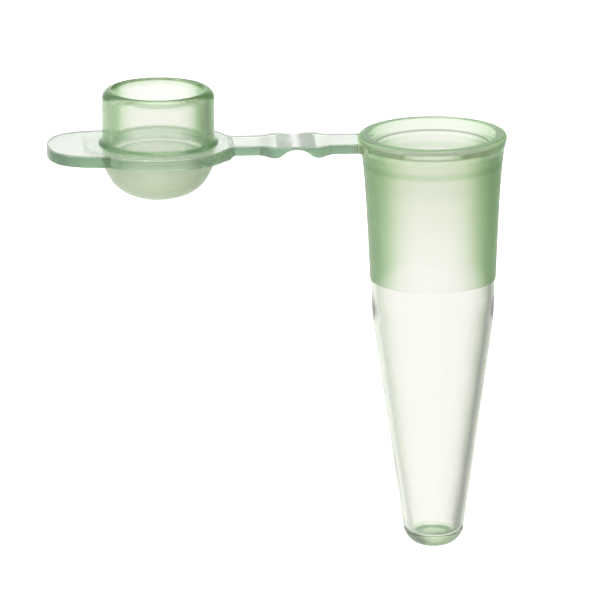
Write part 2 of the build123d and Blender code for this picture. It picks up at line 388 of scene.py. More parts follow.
def build_barrel():
    high_z, low_z = RIM_BOTTOM - GAP, BARREL_BOTTOM + GAP
    outer = [
        (3.57, high_z), (3.49, -1.30), (3.425, -1.95), (3.32, -3.45), (3.225, -5.40),
        (3.132, BARREL_BOTTOM + 0.025),
    ]
    foot = [(3.124, BARREL_BOTTOM + 0.008), (3.108, low_z), (LEDGE_R, low_z)]
    bore = [(BORE_R, low_z), (2.812, -3.0), (2.812, -1.58), (2.82, -1.44), (2.82, high_z)]
    profile = dense(catmull(outer, 6)) + foot + dense(fillet(bore, [4.0, 0.10, 0.10], 5))
    return lathe("frosted_barrel_skin", profile, waves=tube_wave)


def build_cone():
    high_z, low_z = BARREL_BOTTOM - GAP, CONE_BOTTOM + GAP
    end_r = cone_r(CONE_BOTTOM)
    bore_knee_z = KNEE_Z + (BORE_R + CONE_WALL - KNEE_R) / CONE_SLOPE
    outer = [(LEDGE_R, high_z), (KNEE_R, KNEE_Z), (end_r, low_z)]
    bore = [(end_r - CONE_WALL, low_z), (BORE_R, bore_knee_z), (BORE_R, high_z)]
    profile = dense(fillet(outer, [9.0], 12)) + dense(fillet(bore, [14.0], 12))
    return lathe("thin_wall_cone_skin", profile, waves=tube_wave)


def build_tip():
    side_angle = -math.degrees(math.asin(SLOPE_SIN))
    high_z, end_r = CONE_BOTTOM - GAP, cone_r(CONE_BOTTOM)
    recess_z = TIP_BOTTOM + 0.06            # shallow recess under the middle
    floor_z = TIP_BOTTOM + 0.70             # inside

    def round_centre_r(z, radius, wall):
        """Where a round centred at height z touches the sloping wall."""
        return cone_r(z - radius * SLOPE_SIN) - wall - radius * SLOPE_COS

    outer_round, inner_round = 1.10, 0.40
    outer_z = TIP_BOTTOM + outer_round
    outer_r = round_centre_r(outer_z, outer_round, 0.0)
    inner_z = floor_z + inner_round
    inner_r = round_centre_r(inner_z, inner_round, CONE_WALL)
    touch_z = outer_z - outer_round * SLOPE_SIN
    inner_touch = (inner_r + inner_round * SLOPE_COS, inner_z - inner_round * SLOPE_SIN)

    recess = [(0.0, recess_z), (0.335, recess_z), (0.365, TIP_BOTTOM), (outer_r, TIP_BOTTOM)]
    profile = (
        fillet(recess, [0.02, 0.015], 4)[:-1]
        + arc(outer_r, outer_z, outer_round, -90, side_angle, 20)
        + dense([(cone_r(touch_z), touch_z), (end_r, high_z)])[1:]
        + dense([(end_r - CONE_WALL, high_z), inner_touch])
        + arc(inner_r, inner_z, inner_round, side_angle, -90, 12)[1:]
        + [(0.45, floor_z - 0.005), (0.22, floor_z - 0.012), (0.0, floor_z - 0.015)]
    )
    return lathe("rounded_tip_skin", profile, closed=False, waves=tip_wave)


rim = build_rim()
barrel = build_barrel()
cone = build_cone()
tip = build_tip()
rim = union(rim, root_stub(
    "stub_a",
    start=TUBE_ROOT_START + GAP,
    run=-3.31 - TUBE_ROOT_START - GAP,
    ribbed=True,
    thickening=lambda t: 0.02 * t * t,
    buried_x=-3.23,
    narrowing=0.30,
))

# ------------------------------------------------------------------ strap pieces
STEP, WEB_STEP = 0.022, 0.012
NUDGE = 0.01        # a blend begins and ends this far inside its piece
# name, end nearer the tube, end nearer the cap, step, ribbed,
# bone at the tube end, bone at the cap end, x where their blend starts, x where it ends
STRAP_PIECES = (
    ("tube_root_flexure_rim_half", TUBE_ROOT_START, TUBE_ROOT_MID, STEP, True,
     "tube", "tube_root", TUBE_ROOT_START - NUDGE, TUBE_ROOT_MID + NUDGE),
    ("tube_side_strap_skin", TUBE_ROOT_MID, WEB_START, STEP, True,
     "tube_root", "tube_arm", TUBE_ROOT_MID - NUDGE, TUBE_ROOT_END),
    ("living_hinge_web_tube_half", WEB_START, WEB_MID, WEB_STEP, False,
     "tube_arm", "hinge", WEB_START - NUDGE, WEB_MID + NUDGE),
    ("living_hinge_web_cap_half", WEB_MID, WEB_END, WEB_STEP, False,
     "hinge", "cap_arm", WEB_MID - NUDGE, WEB_END + NUDGE),
    ("cap_side_strap_skin", WEB_END, CAP_ROOT_MID, STEP, False,
     "cap_arm", "cap_root", CAP_ROOT_START, CAP_ROOT_MID + NUDGE),
    ("cap_root_flexure_cap_half", CAP_ROOT_MID, CAP_ROOT_END, STEP, False,
     "cap_root", "cap", CAP_ROOT_MID - NUDGE, CAP_ROOT_END + NUDGE),
)
straps = [strap_piece(*row[:5]) for row in STRAP_PIECES]

# ------------------------------------------------------------------ cap
# Heights in the turned profiles are above the flange top, radii from the cap's axis.
FLANGE_THICKNESS = 0.62
FLANGE_R, FLANGE_ROUND = 3.70, 0.08
PLUG_R, PLUG_ROUND = 2.785, 0.42
PLUG_FOOT_R, PLUG_BORE_R = 2.97, 2.29
DOME_R, DOME_BORE_R = 2.80, 2.12    # where the dome meets the flange
TAB_ROUND = 0.085

# (x, y) of the tab's free edge on the +Y side, from inside the flange past the far end
TAB_EDGE = (
    (CAP_X - 2.2, 2.80), (CAP_X - 2.75, 2.735), (CAP_X - 3.75, 2.62), (CAP_X - 4.30, 2.42),
    (CAP_X - 4.76, 2.155), (CAP_X - 5.16, 1.69), (CAP_X - 5.44, 0.97), (TAB_END, 0.0),
    (CAP_X - 5.44, -0.97),
)
# (r, z) of the dome's lower half, the last or first point past the axis to level the curve
DOME_OUTER = (
    (DOME_R, -FLANGE_THICKNESS - GAP), (2.715, -1.15), (2.475, -1.68), (2.14, -2.12),
    (1.60, -2.50), (0.86, -2.74), (0.0, -2.80), (-0.86, -2.74),
)
DOME_INNER = (
    (-0.75, -2.38), (0.0, -2.44), (0.75, -2.38), (1.32, -2.19), (1.70, -1.91),
    (1.96, -1.54), (2.10, -1.08), (DOME_BORE_R, -FLANGE_THICKNESS - GAP),
)


def build_flange_ring():
    low_z = -FLANGE_THICKNESS
    round_r = FLANGE_R - FLANGE_ROUND
    bore = [(DOME_BORE_R, low_z + GAP), (DOME_BORE_R, -0.40), (PLUG_BORE_R, -0.22),
            (PLUG_BORE_R, -GAP)]
    profile = (
        [(PLUG_BORE_R, -GAP), (PLUG_FOOT_R, -GAP), (2.975, 0.0)]
        + arc(round_r, -FLANGE_ROUND, FLANGE_ROUND, 90, 0, 6)
        + arc(round_r, low_z + FLANGE_ROUND, FLANGE_ROUND, 0, -90, 6)
        + [(2.802, low_z), (DOME_R, low_z + GAP)]
        + fillet(bore, [0.06, 0.05], 4)[:-1]
    )
    return lathe("cap_flange_skin", profile, CAP_X, CAP_TOP)


def tab_outline(start_x):
    """The tab's plan outline from start_x on the +Y side round to start_x on the -Y side."""
    half = [np.array(p) for p in catmull(TAB_EDGE, 14) if p[1] >= -1e-9]
    for i, (a, b) in enumerate(zip(half, half[1:])):
        if a[0] > start_x >= b[0]:
            t = (a[0] - start_x) / (a[0] - b[0])
            half = [a + (b - a) * t] + half[i + 1:]
            break
    return half + [p * (1, -1) for p in reversed(half[:-1])]


def tab_solid(name, start_x):
    """The tab from a flat end at start_x, with its free edge rounded all along."""
    outline = tab_outline(start_x)
    n = len(outline)
    outward = []
    for i in range(n):
        along = outline[min(i + 1, n - 1)] - outline[max(i - 1, 0)]
        outward.append(np.array([along[1], -along[0]]) / (np.linalg.norm(along) + 1e-12))
    outward[0], outward[-1] = np.array([0.0, 1.0]), np.array([0.0, -1.0])

    top, low_z = CAP_TOP - 0.0015, CAP_TOP - TAB_THICKNESS
    layers = [(TAB_ROUND + 0.03, top)]      # inset from the outline, z
    for centre_z, start in ((top - TAB_ROUND, 90), (low_z + TAB_ROUND, 0)):
        for k in range(7):
            a = math.radians(start - 15 * k)
            layers.append((TAB_ROUND * (1 - math.cos(a)), centre_z + TAB_ROUND * math.sin(a)))
    layers.append((TAB_ROUND + 0.03, low_z))

    bm = bmesh.new()
    rings = []
    for inset, z in layers:
        places = [p - m * inset for p, m in zip(outline, outward)]
        rings.append([bm.verts.new((x * MM, y * MM, z * MM)) for x, y in places])
    for a, b in zip(rings, rings[1:]):
        for k in range(n - 1):
            bm.faces.new((a[k], a[k + 1], b[k + 1], b[k]))
    # top and bottom: strips across the tab, with a triangle at the far end
    middle = n // 2
    for ring in (rings[0], rings[-1]):
        for i in range(middle - 1):
            bm.faces.new((ring[i], ring[i + 1], ring[n - 2 - i], ring[n - 1 - i]))
        bm.faces.new(ring[middle - 1:middle + 2])
    # flat end
    bm.faces.new([r[0] for r in rings] + [r[-1] for r in reversed(rings)])
    return new_object(name, bm, sharp_angle=35)


def build_tab_root():
    """The part of the tab that belongs to the flange, cut off where the finger tab begins."""
    root = tab_solid("tab_root", CAP_X - 2.32)
    bm = bmesh.new()
    bm.from_mesh(root.data)
    cut = bmesh.ops.bisect_plane(
        bm,
        geom=bm.verts[:] + bm.edges[:] + bm.faces[:],
        plane_co=((TAB_START + GAP) * MM, 0, 0),
        plane_no=(-1, 0, 0),
        clear_outer=True,
        dist=1e-9,
    )
    edges = [e for e in cut["geom_cut"] if isinstance(e, bmesh.types.BMEdge)]
    bmesh.ops.holes_fill(bm, edges=edges, sides=0)
    bmesh.ops.recalc_face_normals(bm, faces=bm.faces)
    bm.to_mesh(root.data)
    bm.free()
    return root


def build_flange():
    ring = build_flange_ring()
    stub = root_stub(
        "stub_b",
        start=CAP_ROOT_END - GAP,
        run=-0.48,
        ribbed=False,
        thickening=lambda t: 0.165 * smoothstep((t - 0.02) / 0.62),
        buried_x=CAP_X + 3.15,
        narrowing=0.05,
    )
    return union(ring, stub, build_tab_root())


def build_plug():
    mouth = [(PLUG_BORE_R, GAP + 0.001), (2.292, PLUG_HEIGHT), (2.53, PLUG_HEIGHT)]
    foot = [(PLUG_R, PLUG_HEIGHT - 0.44), (PLUG_R, 0.165), (PLUG_FOOT_R, 0.075),
            (PLUG_FOOT_R, GAP)]
    profile = (
        [(PLUG_BORE_R, GAP)]
        + fillet(mouth, [0.09], 5)[:-1]
        + arc(PLUG_R - PLUG_ROUND, PLUG_HEIGHT - PLUG_ROUND, PLUG_ROUND, 90, 0, 14)
        + fillet(foot, [0.05, 0.04], 4)[1:]
    )
    return lathe("sealing_plug_skin", profile, CAP_X, CAP_TOP)


def build_dome():
    outer = [p for p in catmull(DOME_OUTER, 10) if p[0] > 0.02] + [(0.0, -2.80)]
    inner = [(0.0, -2.44)] + [p for p in catmull(DOME_INNER, 10) if p[0] > 0.02]
    profile = outer[::-1] + inner[::-1]
    return lathe("cap_dome_skin", profile, CAP_X, CAP_TOP, closed=False)


flange = build_flange()
tab = tab_solid("finger_tab_skin", TAB_START - GAP)
plug = build_plug()
dome = build_dome()


# ------------------------------------------------------------------ shader node helpers
class Tree:
    """An emptied node tree. add returns a node, the other methods return sockets."""

    def __init__(self, owner):
        owner.use_nodes = True
        self.tree = owner.node_tree
        self.tree.nodes.clear()

    def add(self, kind, inputs=None, **settings):
        """Adds a node. An input is linked when given a socket, and set otherwise."""
        node = self.tree.nodes.new("ShaderNode" + kind)
        for key, value in settings.items():
            setattr(node, key, value)
        for key, value in (inputs or {}).items():
            if isinstance(value, bpy.types.NodeSocket):
                self.tree.links.new(value, node.inputs[key])
            else:
                node.inputs[key].default_value = value
        return node

    def math(self, operation, a, b=None, clamp=False):
        inputs = {0: a} if b is None else {0: a, 1: b}
        return self.add("Math", inputs, operation=operation, use_clamp=clamp).outputs[0]

    def plus(self, a, b, clamp=False):
        return self.math("ADD", a, b, clamp)

    def minus(self, a, b):
        return self.math("SUBTRACT", a, b)

    def times(self, a, b):
        return self.math("MULTIPLY", a, b)

    def smooth(self, value, low, high, start=0.0, end=1.0):
        """start below low, end above high, and an S curve between."""
        inputs = {"Value": value, "From Min": low, "From Max": high, "To Min": start, "To Max": end}
        return self.add("MapRange", inputs, interpolation_type="SMOOTHSTEP").outputs["Result"]

    def noise(self, vector, scale, detail, rough, distortion=0.0):
        inputs = {"Scale": scale, "Detail": detail, "Roughness": rough,
                  "Distortion": distortion, "Vector": vector}
        return self.add("TexNoise", inputs).outputs["Fac"]

    def parts(self, vector):
        return self.add("SeparateXYZ", {0: vector}).outputs

    def turned(self, vector, kind, space):
        """A world vector in another space."""
        return self.add("VectorTransform", {0: vector}, vector_type=kind,
                        convert_from="WORLD", convert_to=space).outputs[0]

    def mix_float(self, factor, a, b):
        return self.add("Mix", {0: factor, 2: a, 3: b}, data_type="FLOAT").outputs[0]

    def mix_colour(self, factor, a, b, blend="MIX"):
        inputs = {0: factor, 6: a, 7: b}
        return self.add("Mix", inputs, data_type="RGBA", blend_type=blend).outputs[2]

    def mix_shader(self, factor, a, b):
        return self.add("MixShader", {0: factor, 1: a, 2: b}).outputs[0]


# ------------------------------------------------------------------ polypropylene
def speck_mask(tree, place):
    """Rare specks of dust and pits."""
    cells = tree.add("TexVoronoi", {"Scale": 1.15, "Randomness": 1.0, "Vector": place}).outputs
    spot = tree.smooth(cells["Distance"], 0.030, 0.075, 1.0, 0.0)
    chance = tree.add("SeparateColor", {0: cells["Color"]}).outputs[0]
    return tree.times(spot, tree.math("GREATER_THAN", chance, 0.80))


def bore_roughness(tree, place, axis_x, rough, bore_rough):
    """Gives bore_rough to the faces that look towards the piece's axis."""
    x, y, _ = tree.parts(place)
    geometry = tree.add("NewGeometry").outputs
    normal = tree.parts(tree.turned(geometry["True Normal"], "NORMAL", "OBJECT"))
    outward = tree.plus(
        tree.times(tree.minus(x, axis_x), normal[0]),
        tree.times(y, normal[1]),
    )
    # seen from the back side the true normal is flipped, so its sign is put right
    sign = tree.minus(1.0, tree.times(geometry["Backfacing"], 2.0))
    inward = tree.math("LESS_THAN", tree.times(outward, sign), 0.0)
    return tree.mix_float(inward, rough, bore_rough)


def wall_tint(tree, tint, wall):
    """Colours the wall by how edge-on it is seen, as more plastic then lies in the way; part of
    this is painted shade near the outlines.
    """
    geometry = tree.add("NewGeometry").outputs
    inputs = {0: geometry["Normal"], 1: geometry["Incoming"]}
    facing = tree.add("VectorMath", inputs, operation="DOT_PRODUCT").outputs["Value"]
    ramp = tree.add("ValToRGB", {"Fac": tree.math("ABSOLUTE", facing)})
    stops = ramp.color_ramp.elements
    while len(stops) < len(wall):
        stops.new(0.5)
    # all positions before any colour, so that a moved stop can't carry a colour away
    for stop, (position, _) in zip(stops, wall):
        stop.position = position
    for stop, (_, colour) in zip(stops, wall):
        stop.color = (*colour, 1)
    return tree.mix_colour(1.0, tint, ramp.outputs["Color"], "MULTIPLY")


def side_tint(tree, tint, place, side, slope, axis_x, clear):
    """Painted shade: deepens upright faces, standing for light that reaches them through the whole
    width of a flat part.
    """
    normal = tree.add("NewGeometry").outputs["Normal"]
    normal_z = tree.parts(tree.turned(normal, "NORMAL", "OBJECT"))[2]
    upright = tree.smooth(tree.math("ABSOLUTE", normal_z), *slope, 1.0, 0.0)
    if clear:
        # in front of the hollow middle there is little plastic for the light to cross, so the
        # painted shade is weaker there
        near, far, least = clear
        off = tree.math("ABSOLUTE", tree.minus(tree.parts(place)[0], axis_x))
        upright = tree.times(upright, tree.smooth(off, near, far, least, 1.0))
    return tree.mix_colour(upright, tint, (*side, 1), "MULTIPLY")


def ring_masker(tree, place, axis_x):
    """Returns a function that masks a ring about the piece's own axis."""
    x, y, z = tree.parts(place)
    off = tree.minus(x, axis_x)
    radius = tree.math("SQRT", tree.plus(tree.times(off, off), tree.times(y, y)))

    def mask(middle_z, half_height, r_from, r_to, amount=1.0):
        distance = tree.math("ABSOLUTE", tree.minus(z, middle_z))
        weight = tree.smooth(distance, half_height * 0.35, half_height, amount, 0.0)
        inside = tree.times(
            tree.math("GREATER_THAN", radius, r_from),
            tree.math("LESS_THAN", radius, r_to),
        )
        return tree.times(weight, inside)

    return mask


def polypropylene(
    name, rough, haze, bump, grain, absorbed, wall, haze_colour=(0.90, 0.92, 0.84), streak=0.0,
    axis_x=0.0, bore_rough=None, side=None, side_slope=(0.20, 0.70), side_clear=None,
    bands=(), milky=(),
):
    """Moulded polypropylene.

    rough        surface roughness; bore_rough is for the faces towards the axis at axis_x
    haze         share of light scattered at the surface, tinted by haze_colour
    bump         strength of the relief; grain is its fine noise scale, streak its flow share
    absorbed     light absorbed per mm, in red, green and blue
    wall         colour stops, partly painted shade, from 0 seen edge-on to 1 seen face-on
    side         painted shade for upright faces; side_slope is how |normal z| fades it, side_clear
                 is (near, far, least share) by distance from the axis along X
    bands        tinted rings, most of them painted shade: (z, half height, r from, r to, colour)
    milky        rings that scatter more: (z, half height, r from, r to, amount)
    """
    material = bpy.data.materials.new(name)
    tree = Tree(material)
    output = tree.add("OutputMaterial")
    metres = tree.add("TexCoord").outputs["Object"]
    place = tree.add("VectorMath", {0: metres, "Scale": 1000.0}, operation="SCALE").outputs[0]
    big = tree.noise(place, 0.9, 3.0, 0.55, 0.6)
    mid = tree.noise(place, 4.5, 4.0, 0.6)
    fine = tree.noise(place, grain, 2.0, 0.7)
    # long soft streaks along the flow of the melt
    stretched = tree.add("VectorMath", {0: place, 1: (5.0, 5.0, 0.35)}, operation="MULTIPLY")
    flow = tree.noise(stretched.outputs[0], 1.0, 3.0, 0.6)
    speck = speck_mask(tree, place)

    roughness = tree.plus(tree.times(tree.minus(mid, 0.5), rough * 0.55), rough)
    roughness = tree.plus(roughness, tree.times(tree.minus(big, 0.5), rough * 0.4))
    if bore_rough is not None:
        roughness = bore_roughness(tree, place, axis_x, roughness, bore_rough)
    roughness = tree.plus(roughness, tree.times(speck, 0.25), clamp=True)

    height = tree.plus(tree.times(fine, 0.5), tree.times(mid, 0.9))
    height = tree.plus(height, tree.times(flow, streak))
    relief = tree.add("Bump", {"Strength": bump, "Distance": 0.000006, "Height": height})

    # a faint warm cloudiness, then darker specks
    cloud = tree.plus(tree.times(big, 0.6), tree.times(flow, 0.4))
    tint = tree.mix_colour(cloud, (1.0, 1.0, 1.0, 1), (0.965, 0.968, 0.945, 1))
    tint = tree.mix_colour(tree.times(speck, 0.45), tint, (0.42, 0.45, 0.36, 1))
    tint = wall_tint(tree, tint, wall)
    if side:
        tint = side_tint(tree, tint, place, side, side_slope, axis_x, side_clear)
    # the rings multiply their colours in; most of them are painted shade
    if bands:
        ring_mask = ring_masker(tree, place, axis_x)
        for *ring, colour in bands:
            tint = tree.mix_colour(ring_mask(*ring), tint, (*colour, 1), "MULTIPLY")

    plastic = tree.add("BsdfPrincipled", {
        "Transmission Weight": 1.0,
        "IOR": 1.49,
        "Base Color": tint,
        "Roughness": roughness,
        "Normal": relief.outputs[0],
    }).outputs[0]
    haze_tint = tree.mix_colour(1.0, tint, (*haze_colour, 1), "MULTIPLY")
    through = tree.add("BsdfTranslucent", {"Color": haze_tint}).outputs[0]
    back = tree.add("BsdfDiffuse", {"Color": haze_tint}).outputs[0]
    scatter = tree.mix_shader(0.45, through, back)
    share = tree.times(tree.plus(tree.times(mid, 0.5), 0.75), haze)
    for ring in milky:
        share = tree.plus(share, ring_mask(*ring), clamp=True)
    surface = tree.mix_shader(share, plastic, scatter)

    # shadow rays pass almost freely
    is_shadow = tree.add("LightPath").outputs["Is Shadow Ray"]
    pale = tree.add("BsdfTransparent", {"Color": (0.93, 0.96, 0.92, 1)}).outputs[0]
    surface = tree.mix_shader(is_shadow, surface, pale)
    # the faces of a cut between regions are not seen
    is_cut = tree.add("Attribute", attribute_name="cut").outputs["Fac"]
    unseen = tree.add("BsdfTransparent").outputs[0]
    surface = tree.mix_shader(is_cut, surface, unseen)
    tree.tree.links.new(surface, output.inputs["Surface"])

    strongest = max(absorbed) * 1.25
    volume = tree.add("VolumeAbsorption", {
        "Color": tuple(1 - a / strongest for a in absorbed) + (1,),
        "Density": strongest * 1000,
    })
    tree.tree.links.new(volume.outputs[0], output.inputs["Volume"])
    return material


# ------------------------------------------------------------------ materials
# Wall colours, partly painted shade: (0 edge-on to 1 face-on, colour)
BARREL_WALL = (
    (0.0, (0.60, 0.72, 0.56)), (0.18, (0.38, 0.58, 0.35)), (0.34, (0.24, 0.46, 0.21)),
    (0.50, (0.29, 0.51, 0.26)), (0.66, (0.58, 0.75, 0.53)), (0.80, (0.86, 0.905, 0.82)),
    (0.93, (0.992, 0.987, 0.988)),
)
RIM_WALL = (
    (0.0, (0.48, 0.66, 0.44)), (0.20, (0.44, 0.66, 0.42)), (0.45, (0.56, 0.77, 0.53)),
    (0.70, (0.86, 0.93, 0.82)), (0.90, (1.0, 0.995, 0.98)),
)
CLEAR_WALL = (
    (0.0, (0.70, 0.80, 0.62)), (0.12, (0.67, 0.79, 0.57)), (0.30, (0.74, 0.84, 0.65)),
    (0.50, (0.88, 0.91, 0.84)), (0.75, (0.985, 0.98, 0.97)), (1.0, (0.99, 0.985, 0.975)),
)
TIP_WALL = (
    (0.0, (0.56, 0.70, 0.52)), (0.12, (0.50, 0.64, 0.46)), (0.30, (0.60, 0.73, 0.55)),
    (0.50, (0.84, 0.89, 0.80)), (0.75, (0.985, 0.98, 0.97)), (1.0, (0.99, 0.985, 0.975)),
)
PLUG_WALL = (
    (0.0, (0.60, 0.72, 0.56)), (0.18, (0.37, 0.57, 0.34)), (0.34, (0.24, 0.46, 0.21)),
    (0.48, (0.28, 0.50, 0.25)), (0.62, (0.62, 0.77, 0.58)), (0.74, (0.86, 0.90, 0.82)),
    (0.87, (0.965, 0.965, 0.95)), (0.95, (0.98, 0.972, 0.965)),
)
DOME_WALL = ((0.0, (0.62, 0.70, 0.58)), (0.5, (0.78, 0.82, 0.75)), (1.0, (0.86, 0.865, 0.84)))
FLAT_WALL = ((0.0, (0.90, 0.925, 0.89)), (1.0, (0.925, 0.93, 0.92)))
# painted shade colour for the upright faces of the strap, tab and flange
DEEP_SIDE = (0.42, 0.55, 0.44)
BEYOND = 9.0        # a radius outside every piece

frosted = polypropylene(
    "frosted_polypropylene", rough=0.36, bore_rough=0.10, haze=0.12,
    haze_colour=(0.95, 0.92, 0.86), bump=0.5, grain=16.0, streak=0.4,
    absorbed=(0.045, 0.044, 0.070), wall=BARREL_WALL,
    bands=(
        # the first ring is painted shade under the rim collar; the next two make the upper barrel a
        # little darker
        (-1.40, 0.24, 3.0, BEYOND, (0.70, 0.82, 0.68)),
        (-1.6, 4.2, 0.0, BEYOND, (0.93, 0.95, 0.91)),
        (-1.7, 1.3, 0.0, BEYOND, (0.94, 0.955, 0.93)),
    ),
)
satin_rim = polypropylene(
    "satin_rim_polypropylene", rough=0.08, bore_rough=0.05, haze=0.10,
    haze_colour=(0.86, 0.88, 0.80), bump=0.25, grain=10.0,
    absorbed=(0.080, 0.055, 0.090), wall=RIM_WALL,
    bands=(
        # painted shade: a dark line at the lower edge of the mouth chamfer, then a greener top
        # ring; the third ring greens the outer side a little
        (-0.55, 0.075, 0.0, 2.93, (0.34, 0.38, 0.32)),
        (0.0, 0.16, 3.13, 3.62, (0.74, 0.92, 0.70)),
        (-0.50, 0.36, 3.3, BEYOND, (0.90, 0.95, 0.85)),
    ),
    milky=((-0.11, 0.17, 3.45, BEYOND, 0.36),),
)
clear = polypropylene(
    "clear_polypropylene", rough=0.02, haze=0.012, bump=0.25, grain=5.0, streak=0.8,
    absorbed=(0.045, 0.038, 0.062), wall=CLEAR_WALL,
)
clear_tip = polypropylene(
    "clear_tip_polypropylene", rough=0.02, haze=0.012, bump=0.25, grain=5.0, streak=0.8,
    absorbed=(0.060, 0.045, 0.085), wall=TIP_WALL,
    bands=(
        # painted shade on the tip: a dark ring over a greener middle at the inner floor, a greener
        # lower corner and a greener bottom
        (-20.44, 0.12, 0.62, 0.95, (0.20, 0.34, 0.22)),
        (-20.44, 0.12, 0.0, 0.62, (0.58, 0.70, 0.56)),
        (-20.72, 0.42, 0.95, BEYOND, (0.60, 0.73, 0.56)),
        (TIP_BOTTOM + 0.10, 0.36, 0.60, BEYOND, (0.60, 0.74, 0.56)),
    ),
)
plug_plastic = polypropylene(
    "plug_polypropylene", rough=0.07, haze=0.06, haze_colour=(0.90, 0.93, 0.82), bump=0.25,
    grain=8.0, streak=0.5, absorbed=(0.055, 0.044, 0.080), wall=PLUG_WALL, axis_x=CAP_X,
    bands=(
        # painted shade: a deep green ring round the plug's foot, a darker throat at the flange top,
        # a greener band at the top lip
        (CAP_TOP + 0.10, 0.20, 2.6, BEYOND, (0.34, 0.55, 0.36)),
        (CAP_TOP, 0.10, 0.0, 2.35, (0.50, 0.68, 0.52)),
        (CAP_TOP + 2.72, 0.50, 0.0, BEYOND, (0.88, 0.96, 0.86)),
    ),
    milky=((CAP_TOP + 2.60, 0.42, 2.35, BEYOND, 0.24),),
)
dome_plastic = polypropylene(
    "dome_polypropylene", rough=0.22, haze=0.30, haze_colour=(0.68, 0.715, 0.62), bump=0.25,
    grain=8.0, absorbed=(0.10, 0.070, 0.12), wall=DOME_WALL,
)
strap_plastic = polypropylene(
    "strap_polypropylene", rough=0.14, haze=0.07, haze_colour=(0.88, 0.90, 0.86), bump=0.3,
    grain=8.0, absorbed=(0.12, 0.060, 0.12), wall=FLAT_WALL, side=DEEP_SIDE,
    side_slope=(0.45, 0.96),
)
tab_plastic = polypropylene(
    "tab_polypropylene", rough=0.12, haze=0.07, haze_colour=(0.88, 0.90, 0.87), bump=0.3,
    grain=9.0, absorbed=(0.10, 0.050, 0.10), wall=FLAT_WALL, side=DEEP_SIDE,
)
flange_plastic = polypropylene(
    "flange_polypropylene", rough=0.20, haze=0.09, haze_colour=(0.88, 0.90, 0.87), bump=0.3,
    grain=9.0, absorbed=(0.10, 0.050, 0.10), wall=FLAT_WALL, side=DEEP_SIDE,
    side_clear=(1.1, 2.2, 0.40), axis_x=CAP_X,
    # painted shade in the bore near where the dome meets the flange
    bands=((CAP_TOP - 0.54, 0.12, 0.0, 2.30, (0.74, 0.84, 0.76)),),
)


# ------------------------------------------------------------------ cuts, slots and rig
def cut_x(place):
    return 0, place, 0.0, math.inf


def cut_z(place, axis_x=0.0, radius=math.inf):
    """A level cut, only within a radius of a vertical axis."""
    return 2, place, axis_x, radius


def mark_cuts(piece, cuts):
    """Face attribute "cut": 1 where this region was parted from its neighbour."""
    mesh = piece.data
    attribute = mesh.attributes.new("cut", "FLOAT", "FACE")
    values = np.zeros(len(mesh.polygons), np.float32)
    for face in mesh.polygons:
        centre = face.center / MM
        for axis, place, axis_x, radius in cuts:
            square_on = abs(abs(face.normal[axis]) - 1) < 1e-3
            in_plane = abs(face.center[axis] / MM - place) < 0.003
            if square_on and in_plane and math.hypot(centre[0] - axis_x, centre[1]) < radius:
                values[face.index] = 1.0
    attribute.data.foreach_set("value", values)


def finish_piece(piece, material, cuts, replaced):
    # the joined pieces may bring slots of their own
    piece.data.materials.clear()
    piece.data.materials.append(material)
    mark_cuts(piece, cuts)
    if replaced:
        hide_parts(replaced)


finish_piece(
    rim, satin_rim, [cut_z(RIM_BOTTOM + GAP), cut_x(TUBE_ROOT_START + GAP)],
    "rim_collar",
)
finish_piece(
    barrel, frosted,
    [cut_z(RIM_BOTTOM - GAP), cut_z(BARREL_BOTTOM + GAP, radius=LEDGE_R)],
    "frosted_barrel",
)
finish_piece(
    cone, clear, [cut_z(BARREL_BOTTOM - GAP), cut_z(CONE_BOTTOM + GAP)],
    "thin_wall_cone",
)
finish_piece(
    tip, clear_tip, [cut_z(CONE_BOTTOM - GAP)], "rounded_tip",
)
STRAP_REPLACES = ("tube_root_flexure", None, "living_hinge_web", None, None, "cap_root_flexure")
for strap, row, replaced in zip(straps, STRAP_PIECES, STRAP_REPLACES):
    start, end = row[1:3]
    cuts = [cut_x(start - GAP), cut_x(end + GAP)]
    finish_piece(strap, strap_plastic, cuts, replaced)
finish_piece(
    flange, flange_plastic,
    [
        cut_x(CAP_ROOT_END - GAP),
        cut_x(TAB_START + GAP),
        cut_z(CAP_TOP - GAP, CAP_X, PLUG_FOOT_R),
        cut_z(CAP_TOP - FLANGE_THICKNESS + GAP, CAP_X, DOME_R),
    ],
    "cap_flange",
)
finish_piece(
    tab, tab_plastic, [cut_x(TAB_START - GAP)], "finger_tab",
)
finish_piece(
    plug, plug_plastic, [cut_z(CAP_TOP + GAP)], "sealing_plug",
)
finish_piece(
    dome, dome_plastic, [cut_z(CAP_TOP - FLANGE_THICKNESS - GAP)],
    "cap_dome",
)
# these three share a CAD piece with a neighbour
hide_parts("tube_side_strap", "tube_root_flexure")
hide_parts("living_hinge_web")
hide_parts("cap_side_strap", "cap_root_flexure")

for piece in (rim, barrel, cone, tip):
    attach(piece, "tube")
for piece in (flange, tab, plug, dome):
    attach(piece, "cap")
for strap, row in zip(straps, STRAP_PIECES):
    near_bone, far_bone, start, end = row[5:]
    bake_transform(strap)

# ------------------------------------------------------------------ studio
scene = bpy.context.scene
CARD_EDGE, CARD_FULL = 0.73, 0.93   # cosines off the view between which the card fades in
CARD_LEFT, CARD_RIGHT = 1.12, 0.46  # brightness of the card ahead
WALL_LEFT, WALL_RIGHT = 0.80, 0.42  # brightness of the walls at the sides
DIFFUSE_LEVEL = 0.85                # even brightness that diffuse rays meet


